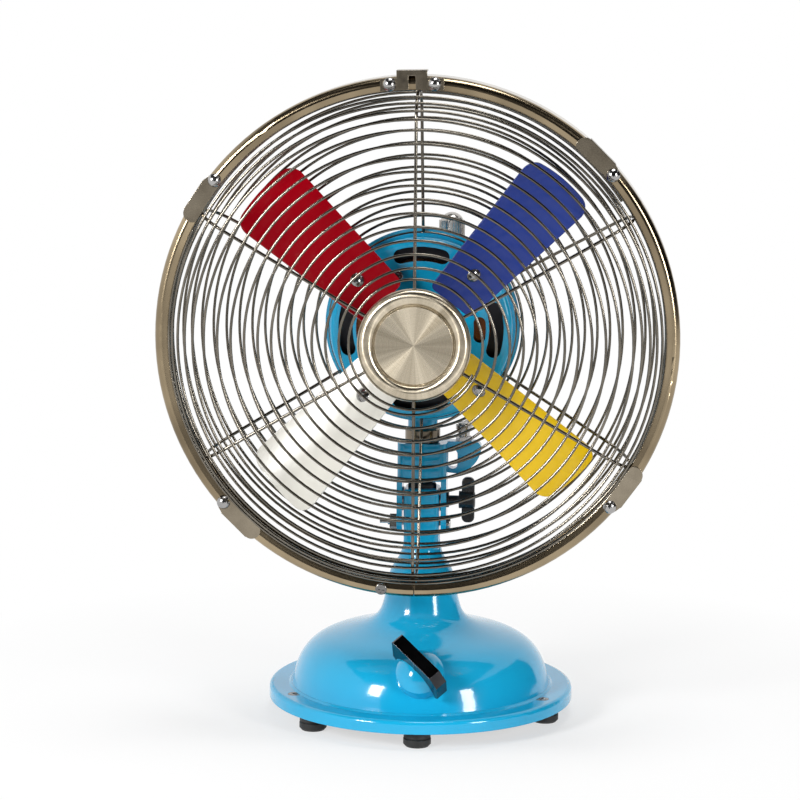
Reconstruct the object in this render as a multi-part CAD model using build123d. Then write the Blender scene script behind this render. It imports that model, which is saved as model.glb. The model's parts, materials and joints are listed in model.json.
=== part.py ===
from build123d import *
from math import asin, atan2, cos, degrees, hypot, pi, radians, sin, sqrt, tan
import os

# Oscillating table fan: a caged four-blade head on a yoke, over a round cast base.
# Millimetres. Origin on the table under the column, +Z up, the air leaves towards -Y.

# ---- clearances -------------------------------------------------------------
FIT = 0.05              # radial gap of a shaft, pin or screw in its hole
AIR = 0.3               # gap between neighbours that move past each other
WELD = 0.1              # depth by which welded wires sink into each other

# ---- base -------------------------------------------------------------------
FOOT_H = 12.5           # table to the underside of the flange
FOOT_R = 10.0
FOOT_INSET = 16.5       # flange's edge to the feet's circle
FOOT_ANGLES = (-141, -88, -14, 50, 125)
FOOT_SCREW_R = 2.0
FLANGE_R = 113.0
FLANGE_T = 9.5
FLANGE_EDGE = 3.0       # rounding of the flange's upper edge
COVER_T = 1.5
COVER_LEDGE = 9.0       # flange width outside the bottom cover
SHELL_WALL = 3.0
DOME_INSET = 17.0       # flange's edge to the dome's foot
FLANGE_SCREW_INSET = 12.0
FLANGE_SCREW_ANGLES = (-153, -25, 91)
FLANGE_SCREW_R = 2.2
FLANGE_SCREW_HEAD_R = 5.0
FLANGE_SCREW_TIP = 3.0  # how far the screw ends stand out below the cover
COLUMN_R = 13.5
COLUMN_NECK = 30.0      # tilt axis down to the narrowest part of the column
WIRE_BORE_R = 4.5
CAPACITOR_R = 11.0
CAPACITOR_PLACE = (26.0, 38.0)
GROMMET_RISE = 14.0     # above the flange
GROMMET_R = 6.5
GROMMET_BORE_R = 3.6

# ---- speed switch and its knob ---------------------------------------------
BOSS_X = 4.5
BOSS_INSET = 11.0               # in from the dome's foot
BOSS_RISE = 27.0                # above the flange
BOSS_TILT = 40                  # degrees that the knob's axis points above level
BOSS_R = 17.2
BOSS_CROWN_R = 20.0             # radius of the boss's rounded top
BOSS_CROWN_SINK = 5.0           # its centre lies this far below BOSS_PLACE
BOSS_PAD = 14.0                 # depth of the flat inside, where the switch sits
SWITCH_R = 9.0
SWITCH_LEN = 16.0
SWITCH_PLATE = (30, 12, 2)
SWITCH_SCREW_X = 12.0
SWITCH_SHAFT_R = 3.0
KNOB_LEN = 47.0
KNOB_WIDTH = 9.4
KNOB_TOP = 26.0                 # top of the bar above BOSS_PLACE
KNOB_CHAMFER = 7.0              # on the pointer's end
KNOB_TAIL_CHAMFER = 1.5
KNOB_END = 3.0                  # thickness of the bar's ends below the arch
KNOB_TURN = -45                 # the bar's direction at rest, in degrees
KNOB_GAP = 1.2                  # between the boss's crown and the bar's arch

# ---- tilt joint -------------------------------------------------------------
TILT_Z = 161.0
TONGUE_W = 26.0                 # across, along X
TONGUE_D = 27.0                 # front to back
TONGUE_TOP = 9.0                # above the tilt axis
EAR_T = 4.0
EAR_ROOM = 1.3                  # between the tongue and an ear, for a washer
EAR_D = 22.0
EAR_DROP = 24.5                 # below the tilt axis
TILT_BOLT_R = 3.0
TILT_WASHER_R = 9.0
TILT_UP = 25                    # degrees
TILT_DOWN = 8
STOP_DROP = 17.5                # stop bolt below the tilt axis
STOP_BOLT_R = 2.5
WING_REACH = 17.0
WING_STAND = 9.0                # ear to the wing knob's hub
WING_LEN = 12.0

# ---- yoke and swivel --------------------------------------------------------
CROTCH = 15.0                   # block underside above the tilt axis
BLOCK_H = 28.0
BLOCK_D = 22.0
BLOCK_EDGE = 6.0
POST_R = 7.0
POST_DEEP = 24.0
COLLAR_R = 13.0
COLLAR_H = 10.5
NECK_BOSS_R = 11.0
ARM_PIN_OUT = 11.7              # from the ear's outside
ARM_PIN_Y = 8.0
ARM_PIN_R = 3.0
ARM_OUT = 25.0                  # from the ear's outside
ARM_HANG = 24.0                 # below the yoke's top
ARM_ROOT = 3.5                  # how far the arm runs into the ear
ARM_GAP_W = 7.0                 # the opening between the arm and the ear
ARM_GAP_LEN = 14.5
ARM_END_R = 5.0
ARM_D = 10.0
LINK_GAP = 8.8                  # link's underside above the yoke's top
LINK_T = 3.0
LINK_EYE_R = 6.0

# ---- head: sizes along the fan's axis are measured forward from HEAD_Y ------
NECK_H = 11.2                   # swivel collar's top to the motor's underside
HEAD_Y = -20.0
MOTOR_R = 67.0
COVER_INSET = 1.0               # the front cover is this much smaller than the motor
COVER_FRONT = 16.0
COVER_BACK = -5.4
COVER_EDGE = 4.0
COVER_WALL = 2.0
HEM_OUT = 0.9                   # the hem, the clamp flange and the guard's ring stand out from the motor
HEM_BACK = -2.6
FLANGE_RING_OUT = 4.0
HOUSING_SHOULDER = -30.0
HOUSING_BACK = -44.5
HOUSING_TAPER = 23.0
HOUSING_WALL = 2.5
OUTER_SLOT = (11.5, 10.4, 21.5)     # middle in from the cover's edge, width, half angle
INNER_SLOT = (23.4, 8.6, 12.6)
COVER_SCREW_ANGLES = (67, 113, 247, 293)
COVER_SCREW_INSET = 24.0
COVER_SCREW_R = 2.0
ROTOR_GAP = 0.6
STATOR_BACK = -30.0
STATOR_FRONT = 1.0
ROTOR_INSET = 37.0              # motor's outside to the rotor's
SHAFT_R = 4.0
SHAFT_FRONT = 64.0
BUSH_R = 8.0
BUSH_LEN = 9.0

# ---- blades -----------------------------------------------------------------
BLADE_PLANE = 48.0
BLADE_COUNT = 4
BLADE_FIRST_ANGLE = 48.6
BLADE_PITCH = 29.0
BLADE_TIP = 151.5               # half of a 12-inch fan's blade circle
BLADE_ROOT = 33.0
BLADE_ROOT_HALF = 21.0
BLADE_TIP_HALF = 32.0
BLADE_CORNER = 11.0
BLADE_T = 1.2
BLADE_CAMBER_R = 130.0
BLADE_RIVET_U = 58.5
BLADE_RIVET_R = 2.0
BLADE_RIVET_HEAD_R = 5.2
HUB_R = 12.0
HUB_LEN = 24.0
ARM_W = 15.0
ARM_T = 2.4
ARM_TIP = 67.0

# ---- cage -------------------------------------------------------------------
TIP_ROOM = 33.5                 # blade tip to the outside of the rim band
RIM_FRONT = 75.5
RIM_BACK = 47.0
RIM_WALL = 1.2
RIM_LIP = 9.6                   # radial width of the lips
RIM_DIP = 0.6                   # the front lip falls back this much at its inner edge
RIM_ROUND = 5.5                 # rounding between the lip and the outer wall
RIM_SPLIT = 0.6
WIRE_R = 1.0
SPOKE_R = 1.15
SPOKE_COUNT = 6
SPOKE_FIRST = 30
FRONT_EYE_OUT = 5.8             # badge's edge to the innermost turn of the front spiral
FRONT_DEPTH = 21.5              # that turn in front of the rim band
FRONT_CURVE_R = 22.5
GUARD_RING_GRIP = 0.5           # the outer rings' centres lie this far behind the lips' edge
GUARD_RING_WIRE = 1.5
SPOKE_SHORT = 0.4               # the spokes stop this far before the end of the outline
SPIRAL_SHORT = 2.2              # the spirals stop this far inside the outer rings
SPIRAL_START = -26              # degrees
SPIRAL_PITCH = 9.5
SHOULDER_PITCH = 6.0
HUB_RING_INSET = 3.7            # badge's edge to the ring behind it
REAR_EYE_OUT = 5.0              # inner ring to the innermost turn of the rear spiral
REAR_EYE_SINK = 0.25
REAR_SPOKE_START = -3.6         # run along the outline where the rear spokes begin
REAR_CURVE_R = 28.8
REAR_PITCH = 9.5
REAR_RING_OUT = 0.6             # inner ring, clamped between the motor's halves
REAR_RING_WIRE = 1.4

# ---- badge, bracket and clips ----------------------------------------------
BADGE_R = 39.7
BADGE_H = 5.5
BADGE_RING_W = 11.4             # width of the badge's raised ring
BADGE_T = 1.2
BACKPLATE_T = 1.4
BADGE_SCREW_R = 2.0
CLIP_INSET = 5.0                # rim band's outside to the circle of rivets
CLIP_ANGLES = (41, 142, 221, 320)
CLIP_LEN = 33.0
CLIP_T = 0.8
CLIP_HALF = 4.6
CLIP_FLANGE_D = 12.0
CLIP_RIVET_R = 1.6
CLIP_RIVET_HEAD_R = 4.8
BRACKET_ANGLE = 91.3
BRACKET_HALF = 22.2
BRACKET_TAB_HALF = 10.7
BRACKET_TAB_RISE = 4.0          # above the rim band
BRACKET_HOOK = 14.0
BRACKET_SLOT_HALF = 2.5
BRACKET_RIVET_X = 15.7
BRACKET_RIVET_SAG = 0.7
RIM_SCREW_ANGLE = -97.4
RIM_SCREW_R = 2.0

# ---- gear case --------------------------------------------------------------
CLUTCH_X = 18.0
CLUTCH_Y = 42.0
CASE_LEFT = -16.0
CASE_ROOM = 19.0                # clutch axis to the case's right side and back
CASE_HALF_H = 19.0
CASE_WALL = 3.0
CASE_LID_T = 3.0
SLEEVE_RISE = 57.0              # the sleeve's top above the fan's axis
SLEEVE_R = 8.0
CRANK_SHAFT_R = 3.0
CRANK_TUBE_R = 7.0
CRANK_TUBE_DROP = 57.0          # the crank tube's end below the fan's axis
CRANK_THROW = 20.0
CRANK_REST = 8.0                # direction of the crank at rest, in degrees
CRANK_T = 4.0
CRANK_PIN_LEN = 2.6
WHEEL_TEETH = 26
WHEEL_MODULE = 1.0
WHEEL_FACE = 5.0
WORM_LEN = 22.0
CLUTCH_KNOB_R = 9.6
CLUTCH_KNOB_H = 20.0
CLUTCH_KNURLS = 28

# ---- sizes that follow ------------------------------------------------------
FLANGE_Z = FOOT_H + FLANGE_T
FOOT_CIRCLE = FLANGE_R - FOOT_INSET
DOME_R = FLANGE_R - DOME_INSET
FLANGE_SCREW_CIRCLE = FLANGE_R - FLANGE_SCREW_INSET
COLUMN_NARROW_Z = TILT_Z - COLUMN_NECK
BOSS_PLACE = (BOSS_X, BOSS_INSET - DOME_R, FLANGE_Z + BOSS_RISE)
EAR_IN = TONGUE_W / 2 + EAR_ROOM
EAR_OUT = EAR_IN + EAR_T
WING_X = EAR_OUT + WING_STAND
ARM_REACH = EAR_OUT + ARM_OUT
ARM_PIN_PLACE = (EAR_OUT + ARM_PIN_OUT, ARM_PIN_Y)
YOKE_TOP = TILT_Z + CROTCH + BLOCK_H
COLLAR_Z = YOKE_TOP + AIR
AXIS_Z = COLLAR_Z + COLLAR_H + NECK_H + MOTOR_R
LINK_Z = YOKE_TOP + LINK_GAP
STOP_Z = TILT_Z - STOP_DROP
CRANK_PIN_Z = LINK_Z + LINK_T + AIR
CRANK_Z = CRANK_PIN_Z + CRANK_PIN_LEN
WHEEL_R = WHEEL_TEETH * WHEEL_MODULE / 2
WORM_R = CLUTCH_X - WHEEL_R
COVER_R = MOTOR_R - COVER_INSET
HEM_R = MOTOR_R + HEM_OUT
FLANGE_RING_R = MOTOR_R + FLANGE_RING_OUT
HOUSING_BACK_R = MOTOR_R - HOUSING_TAPER
COVER_SCREW_CIRCLE = COVER_R - COVER_SCREW_INSET
ROTOR_R = MOTOR_R - ROTOR_INSET
STATOR_IN_R = ROTOR_R + ROTOR_GAP
RIM_R = BLADE_TIP + TIP_ROOM
CLIP_CIRCLE = RIM_R - CLIP_INSET
GUARD_RING_R = RIM_R - RIM_LIP + GUARD_RING_GRIP
FRONT_RING_Z = RIM_FRONT - RIM_DIP - RIM_WALL - GUARD_RING_WIRE
BACK_RING_Z = RIM_BACK + RIM_WALL + GUARD_RING_WIRE
REAR_RING_R = MOTOR_R + REAR_RING_OUT
REAR_RING_Z = (COVER_BACK + HEM_BACK) / 2
BADGE_STEP_R = BADGE_R - BADGE_RING_W
HUB_RING_R = BADGE_R - HUB_RING_INSET
FRONT_EYE_R = BADGE_R + FRONT_EYE_OUT
FRONT_EYE_Z = RIM_FRONT + FRONT_DEPTH
SPOKE_DROP = WIRE_R + SPOKE_R - WELD
CASE_RIGHT = CLUTCH_X + CASE_ROOM
CASE_BACK = CLUTCH_Y + CASE_ROOM
CASE_FRONT = HEAD_Y - HOUSING_BACK
CASE_LOW = AXIS_Z - CASE_HALF_H
CASE_HIGH = AXIS_Z + CASE_HALF_H
SLEEVE_TOP = AXIS_Z + SLEEVE_RISE
CRANK_TUBE_Z = AXIS_Z - CRANK_TUBE_DROP

HEAD = Plane(origin=(0, HEAD_Y, AXIS_Z), x_dir=(1, 0, 0), z_dir=(0, -1, 0)).location
BOSS = Plane(
    origin=BOSS_PLACE, x_dir=(1, 0, 0), z_dir=(0, -cos(radians(BOSS_TILT)), sin(radians(BOSS_TILT)))
).location
CLUTCH = Pos(CLUTCH_X, CLUTCH_Y, 0)
ARM_PIN = Pos(*ARM_PIN_PLACE, 0)


# ---- small helpers ----------------------------------------------------------
def upright(radius, bottom, top):
    """A cylinder about the local Z axis."""
    return Pos(0, 0, (bottom + top) / 2) * Cylinder(radius, top - bottom)


def tube(outer, inner, bottom, top):
    return upright(outer, bottom, top) - upright(inner, bottom - 1, top + 1)


def across(radius, x_from, x_to, z):
    """A cylinder along X at height z over the column's axis."""
    return Pos((x_from + x_to) / 2, 0, z) * Rot(0, 90, 0) * Cylinder(radius, abs(x_to - x_from))


def spin(points):
    """Turn a closed outline of (radius, height) points about the local Z axis."""
    line = Polyline(*[(r, 0, z) for r, z in points], close=True)
    return revolve(make_face(line), Axis.Z)


def spin_edges(edges):
    return revolve(make_face(edges), Axis.Z)


def at_angle(angle, radius):
    """A place on a circle in the local XY plane, turned so that X points outward."""
    return Rot(0, 0, angle) * Pos(radius, 0, 0)


def dome_head(radius, height, base):
    """A rivet's low rounded head on the plane z = base."""
    ball_r = (radius**2 + height**2) / (2 * height)
    ball = Pos(0, 0, base + height - ball_r) * Sphere(ball_r)
    return ball & upright(radius, base, base + height)


def pan_head(radius, height, base):
    head = upright(radius, base, base + height)
    return fillet(head.edges().group_by(Axis.Z)[-1], height * 0.45)


def cross_recess(radius, top):
    bar = Box(radius * 1.3, radius * 0.28, 1.2)
    return Pos(0, 0, top) * (bar + Rot(0, 0, 90) * bar)


def hexagon(across_flats, bottom, top):
    shape = extrude(RegularPolygon(across_flats / 2, 6, major_radius=False), top - bottom)
    return Pos(0, 0, bottom) * shape


# ---- base -------------------------------------------------------------------
def dome_points():
    """Outer outline of the base above the flange, as radius and height."""
    return [
        (DOME_R - 0.5, FLANGE_Z + 3.5),
        (DOME_R - 3, FLANGE_Z + 12.5),
        (DOME_R - 8, FLANGE_Z + 23),
        (DOME_R - 17, FLANGE_Z + 32),
        (DOME_R - 33, FLANGE_Z + 39),
        (DOME_R - 51, FLANGE_Z + 44.5),
        (COLUMN_R + 19, FLANGE_Z + 52),
        (COLUMN_R + 14.6, FLANGE_Z + 62),
        (COLUMN_R + 12, FLANGE_Z + 75),
        (COLUMN_R + 8.8, COLUMN_NARROW_Z - 22),
        (COLUMN_R + 3.6, COLUMN_NARROW_Z - 13.5),
        (COLUMN_R + 0.6, COLUMN_NARROW_Z - 5),
        (COLUMN_R, COLUMN_NARROW_Z),
    ]


def inset(points, wall):
    """Move each point of an outline inward along its own normal."""
    moved = []
    for i in range(1, len(points) - 1):
        dr = points[i + 1][0] - points[i - 1][0]
        dz = points[i + 1][1] - points[i - 1][1]
        size = hypot(dr, dz)
        moved.append((points[i][0] - dz / size * wall, points[i][1] + dr / size * wall))
    return moved


def base_body():
    dome = dome_points()
    foot_r, foot_z = dome[0]
    lines = Polyline(
        (COLUMN_R, 0, COLUMN_NARROW_Z),
        (0, 0, COLUMN_NARROW_Z),
        (0, 0, FOOT_H),
        (FLANGE_R, 0, FOOT_H),
        (FLANGE_R, 0, FLANGE_Z),
        (DOME_R + 2.5, 0, FLANGE_Z),
        (DOME_R + 1, 0, FLANGE_Z + 1.2),
        (DOME_R + 0.2, 0, FLANGE_Z + 1.2),
        (foot_r, 0, foot_z),
    )
    wall = Spline(*[(r, 0, z) for r, z in dome])
    body = spin_edges(lines + wall)
    edge = [e for e in body.edges() if e.geom_type == GeomType.CIRCLE
            and abs(e.radius - FLANGE_R) < 0.1 and abs(e.center().Z - FLANGE_Z) < 0.1]
    return fillet(edge, FLANGE_EDGE)


def base_cavity():
    inner = inset(dome_points(), SHELL_WALL)[:6]
    low_r = inner[0][0]
    points = [(0, FOOT_H + COVER_T), (low_r, FOOT_H + COVER_T)] + inner
    points += [(0, inner[-1][1] + 2)]
    return spin(points)


def tongue():
    block = Box(TONGUE_W, TONGUE_D, TILT_Z + TONGUE_TOP - COLUMN_NARROW_Z + 6)
    block = Pos(0, 0, (TILT_Z + TONGUE_TOP + COLUMN_NARROW_Z - 6) / 2) * block
    block = fillet(block.edges().filter_by(Axis.Z), 4)
    block = fillet(block.edges().group_by(Axis.Z)[-1], 2)
    stop = Plane(origin=(0, 0, TILT_Z), x_dir=(0, 1, 0), z_dir=(1, 0, 0))
    arc = CenterArc((0, 0), STOP_DROP, -90 - TILT_UP, TILT_UP + TILT_DOWN)
    slot = extrude(SlotArc(arc, 2 * (STOP_BOLT_R + AIR)), TONGUE_W, both=True)
    return block - stop.location * slot


def round_column_joint():
    """The short round neck that carries the square tongue."""
    return upright(COLUMN_R, COLUMN_NARROW_Z, COLUMN_NARROW_Z + 6)


def knob_boss():
    edge_z = sqrt(BOSS_CROWN_R**2 - BOSS_R**2) - BOSS_CROWN_SINK
    top = BOSS_CROWN_R - BOSS_CROWN_SINK
    mid_r = BOSS_R / 2
    mid_z = sqrt(BOSS_CROWN_R**2 - mid_r**2) - BOSS_CROWN_SINK
    side = Polyline((0, 0, top), (0, 0, -BOSS_PAD), (BOSS_R, 0, -BOSS_PAD), (BOSS_R, 0, edge_z))
    crown = ThreePointArc((BOSS_R, 0, edge_z), (mid_r, 0, mid_z), (0, 0, top))
    return BOSS * spin_edges(side + crown)


def flange_screw_places():
    return [at_angle(a, FLANGE_SCREW_CIRCLE) for a in FLANGE_SCREW_ANGLES]


def foot_places():
    return [at_angle(a, FOOT_CIRCLE) for a in FOOT_ANGLES]


def countersink(gap):
    """A countersunk head down from the flange, grown by a gap for its recess."""
    top_r = FLANGE_SCREW_HEAD_R + gap
    low_r = FLANGE_SCREW_R + gap
    return spin([(0, FLANGE_Z), (top_r, FLANGE_Z), (low_r, FLANGE_Z - top_r + low_r),
                 (0, FLANGE_Z - top_r + low_r)])


def grommet_axis():
    return Plane(origin=(0, DOME_R - 3, FLANGE_Z + GROMMET_RISE), x_dir=(1, 0, 0), z_dir=(0, 1, 0)).location


def base_shell():
    shell = base_body() - base_cavity()
    shell = shell - upright(FLANGE_R - COVER_LEDGE, FOOT_H - 1, FOOT_H + COVER_T)
    shell = shell + knob_boss() + tongue() + round_column_joint()
    shell = shell - upright(WIRE_BORE_R, FOOT_H, COLUMN_NARROW_Z - 8)
    shell = shell - BOSS * upright(SWITCH_SHAFT_R + AIR, -BOSS_PAD - 1, BOSS_CROWN_R)
    for side in (-1, 1):
        shell = shell - BOSS * Pos(side * SWITCH_SCREW_X, 0, 0) * upright(1.3, -BOSS_PAD - 1, -BOSS_PAD + 7)
    for place in flange_screw_places():
        shell = shell - place * (countersink(0.2) + upright(FLANGE_SCREW_R + FIT, FOOT_H, FLANGE_Z))
    for place in foot_places():
        shell = shell - place * upright(FOOT_SCREW_R + FIT, FOOT_H - 1, FOOT_H + 7)
    shell = shell - across(TILT_BOLT_R + FIT, -TONGUE_W, TONGUE_W, TILT_Z)
    return shell - grommet_axis() * upright(GROMMET_R - 1.5, -12, 12)


def bottom_cover():
    plate = upright(FLANGE_R - COVER_LEDGE - AIR, FOOT_H, FOOT_H + COVER_T)
    for place in flange_screw_places():
        plate = plate - place * upright(FLANGE_SCREW_R + FIT, FOOT_H - 1, FOOT_H + 3)
    for place in foot_places():
        plate = plate - place * upright(FOOT_SCREW_R + FIT, FOOT_H - 1, FOOT_H + 3)
    return plate


def one_foot():
    groove = FOOT_H * 0.5
    body = spin([(0, 0), (FOOT_R - 1.6, 0), (FOOT_R, 1.8), (FOOT_R, groove - 0.6), (FOOT_R - 0.8, groove),
                 (FOOT_R - 0.2, groove + 0.7), (FOOT_R - 0.9, FOOT_H), (0, FOOT_H)])
    body = body - upright(4.2, -1, 4)
    return body - upright(FOOT_SCREW_R + FIT, 0, FOOT_H + 1)


def one_foot_screw():
    return pan_head(3.8, 2.2, 1.8).mirror(Plane.XY.offset(2.9)) + upright(FOOT_SCREW_R, 2.5, FOOT_H + 6.5)


def one_flange_screw():
    tip = FOOT_H - FLANGE_SCREW_TIP
    screw = countersink(0) + upright(FLANGE_SCREW_R, tip, FLANGE_Z - 1)
    screw = screw + spin([(0, tip - 1), (1, tip - 1), (FLANGE_SCREW_R, tip), (0, tip)])
    return screw - cross_recess(FLANGE_SCREW_HEAD_R, FLANGE_Z)


def grommet():
    waist = GROMMET_R - 1.5 - FIT
    ring = spin([(GROMMET_BORE_R, -6), (waist, -6), (waist, 1.2), (GROMMET_R, 1.6), (GROMMET_R, 3.2),
                  (GROMMET_R - 1.2, 4.4), (GROMMET_BORE_R, 4.4)])
    return grommet_axis() * ring


def capacitor():
    can = Rot(0, 90, 0) * Cylinder(CAPACITOR_R, 40)
    return Pos(*CAPACITOR_PLACE, FOOT_H + COVER_T + CAPACITOR_R) * fillet(can.edges(), 1.5)


def capacitor_strap():
    thick = 1.2
    outside = CAPACITOR_R + thick
    band = Rot(0, 90, 0) * Cylinder(outside, 10) + Pos(0, 0, -outside / 2) * Box(10, 2 * outside, outside)
    feet = Pos(0, 0, -CAPACITOR_R + thick / 2) * Box(10, 2 * outside + 18, thick)
    strap = band + feet - Pos(0, 0, -2 * CAPACITOR_R) * Box(20, 80, 2 * CAPACITOR_R)
    hollow = CAPACITOR_R + FIT
    strap = strap - Rot(0, 90, 0) * Cylinder(hollow, 20)
    strap = strap - Pos(0, 0, -hollow / 2) * Box(20, 2 * hollow, hollow)
    return Pos(*CAPACITOR_PLACE, FOOT_H + COVER_T + CAPACITOR_R) * strap


# ---- speed switch -----------------------------------------------------------
def switch_body():
    width, height, thick = SWITCH_PLATE
    back = -BOSS_PAD - thick - SWITCH_LEN
    body = upright(SWITCH_R, back, -BOSS_PAD - thick)
    plate = Pos(0, 0, -BOSS_PAD - thick / 2) * Box(width, height, thick)
    body = body + plate - upright(SWITCH_SHAFT_R + FIT, back + 4, 0)
    for side in (-1, 1):
        body = body - Pos(side * SWITCH_SCREW_X, 0, 0) * upright(1.25 + FIT, back, 0)
    for i in (-1, 0, 1):
        body = body + Pos(i * 5, 0, back - 3) * Box(2.4, 0.8, 6.2)
    return BOSS * body


def switch_screws():
    seat = -BOSS_PAD - SWITCH_PLATE[2]
    screw = upright(1.25, seat, -BOSS_PAD + 6) + upright(2.3, seat - 1.6, seat)
    return [BOSS * Pos(side * SWITCH_SCREW_X, 0, 0) * screw for side in (-1, 1)]


def switch_shaft():
    return BOSS * upright(SWITCH_SHAFT_R, -BOSS_PAD - 12, KNOB_TOP - 4)


def speed_knob():
    end = KNOB_LEN / 2
    arch_r = BOSS_CROWN_R + KNOB_GAP
    foot_x = arch_r - 0.6
    foot_z = sqrt(arch_r**2 - foot_x**2) - BOSS_CROWN_SINK
    side = Polyline(
        (-foot_x, 0, foot_z), (-end, 0, foot_z + KNOB_END), (-end, 0, KNOB_TOP - KNOB_TAIL_CHAMFER),
        (-end + KNOB_TAIL_CHAMFER, 0, KNOB_TOP), (end - KNOB_CHAMFER, 0, KNOB_TOP),
        (end, 0, KNOB_TOP - KNOB_CHAMFER), (end, 0, foot_z + KNOB_END), (foot_x, 0, foot_z),
    )
    arch = ThreePointArc((foot_x, 0, foot_z), (0, 0, arch_r - BOSS_CROWN_SINK), (-foot_x, 0, foot_z))
    bar = extrude(make_face(side + arch), KNOB_WIDTH / 2, both=True)
    hub = upright(KNOB_WIDTH / 2 + 0.2, BOSS_CROWN_R - BOSS_CROWN_SINK + AIR, KNOB_TOP - 2)
    knob = bar + hub - upright(SWITCH_SHAFT_R + FIT, 0, KNOB_TOP - 4)
    return BOSS * Rot(0, 0, KNOB_TURN) * knob


# ---- tilt joint and yoke ----------------------------------------------------
def ear_pair():
    tall = EAR_DROP + CROTCH + 2.5
    ear = Box(EAR_T, EAR_D, tall)
    ear = fillet(ear.edges().filter_by(Axis.X).group_by(Axis.Z)[0], EAR_D * 0.42)
    height = TILT_Z - EAR_DROP + tall / 2
    middle = EAR_IN + EAR_T / 2
    return Pos(-middle, 0, height) * ear + Pos(middle, 0, height) * ear


def link_arm():
    """Curved arm at the right of the yoke, open in the middle, that holds the link's pin."""
    top = YOKE_TOP
    root = EAR_OUT - ARM_ROOT
    heel = (EAR_OUT + ARM_GAP_W, 0, top - ARM_HANG)
    outline = Polyline(heel, (root, 0, top - ARM_HANG + 1), (root, 0, top), (ARM_REACH - ARM_END_R, 0, top))
    round_off = ARM_END_R * (1 - cos(radians(45)))
    corner = (ARM_REACH - round_off, 0, top - round_off)
    side = (ARM_REACH, 0, top - ARM_END_R)
    belly = (ARM_REACH - ARM_OUT * 0.22, 0, top - ARM_HANG * 0.72)
    outline = outline + ThreePointArc((ARM_REACH - ARM_END_R, 0, top), corner, side)
    outline = outline + ThreePointArc(side, belly, heel)
    arm = Pos(0, ARM_PIN_Y, 0) * extrude(make_face(outline), ARM_D / 2, both=True)
    gap = Rot(90, 0, 0) * extrude(Rot(0, 0, 90) * SlotOverall(ARM_GAP_LEN, ARM_GAP_W), 2 * ARM_D, both=True)
    return arm - Pos(EAR_OUT + 0.4 + ARM_GAP_W / 2, 0, top - 6 - ARM_GAP_LEN / 2) * gap


def yoke():
    block = Pos(0, 0, YOKE_TOP - BLOCK_H / 2) * Box(2 * EAR_OUT, BLOCK_D, BLOCK_H)
    block = fillet(block.edges().filter_by(Axis.Z), BLOCK_EDGE)
    body = block + ear_pair() + link_arm()
    body = body - upright(POST_R + FIT, YOKE_TOP - POST_DEEP, YOKE_TOP + 1)
    body = body - across(TILT_BOLT_R + FIT, -EAR_OUT - 1, EAR_OUT + 1, TILT_Z)
    body = body - across(STOP_BOLT_R + FIT, -EAR_OUT - 1, EAR_OUT + 1, STOP_Z)
    return body - ARM_PIN * upright(ARM_PIN_R + FIT, YOKE_TOP - 5, YOKE_TOP + 1)


def tilt_washers():
    thick = EAR_IN - TONGUE_W / 2 - AIR
    ring = across(TILT_WASHER_R, EAR_IN - thick, EAR_IN, TILT_Z)
    ring = ring - across(TILT_BOLT_R + FIT, 0, EAR_OUT, TILT_Z)
    return [ring, ring.mirror(Plane.YZ)]


def stop_bolt():
    bolt = across(STOP_BOLT_R, -EAR_OUT - 7, EAR_OUT, STOP_Z)
    bolt = bolt + across(1.4, -EAR_OUT - 13, -EAR_OUT - 7, STOP_Z)
    head = Pos(EAR_OUT, 0, STOP_Z) * Rot(0, 90, 0) * pan_head(5.3, 3, 0)
    return bolt + head


def stop_nut():
    nut = Pos(-EAR_OUT, 0, STOP_Z) * Rot(0, -90, 0) * hexagon(10, 0, 5.5)
    return nut - across(STOP_BOLT_R + FIT, -EAR_OUT - 8, -EAR_OUT + 1, STOP_Z)


def wing_knob():
    stud = across(TILT_BOLT_R, -EAR_OUT + 0.5, WING_X + 2, TILT_Z)
    hub = across(6.5, WING_X, WING_X + WING_LEN, TILT_Z)
    hub = fillet(hub.edges().group_by(Axis.X)[-1], 2)
    wing = Pos(WING_X + WING_LEN / 2 + 0.8, 0, TILT_Z) * Box(WING_LEN - 2.5, 5, 2 * WING_REACH)
    wing = fillet(wing.edges().filter_by(Axis.Y), 4)
    wing = fillet(wing.edges().filter_by(GeomType.LINE).filter_by(Axis.Z), 1.2)
    collar = across(EAR_D / 2 - 5, EAR_OUT, EAR_OUT + 1.6, TILT_Z)
    return stud + hub + wing + collar


def swivel_post():
    """Upright pivot of the head: it turns in the yoke and is pressed into the housing."""
    bottom = YOKE_TOP - POST_DEEP + AIR
    return upright(POST_R, bottom, COLLAR_Z + COLLAR_H + 8)


def swivel_collar():
    ring = tube(COLLAR_R, POST_R + FIT, COLLAR_Z, COLLAR_Z + COLLAR_H)
    rims = [e for e in ring.edges() if e.geom_type == GeomType.CIRCLE and e.radius > COLLAR_R - 1]
    return chamfer(rims, 1)


def arm_pin():
    link_top = LINK_Z + LINK_T
    pin = upright(ARM_PIN_R, YOKE_TOP - 5, link_top + AIR)
    pin = pin + hexagon(10, YOKE_TOP, YOKE_TOP + 3.5)
    pin = pin + upright(ARM_PIN_R + 1.5, YOKE_TOP, LINK_Z - AIR)
    pin = pin + upright(ARM_PIN_R + 1.5, link_top + AIR, link_top + AIR + 1.5)
    return ARM_PIN * pin


def crank_pin_place():
    turn = radians(CRANK_REST)
    return CLUTCH_X + CRANK_THROW * cos(turn), CLUTCH_Y + CRANK_THROW * sin(turn)


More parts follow.
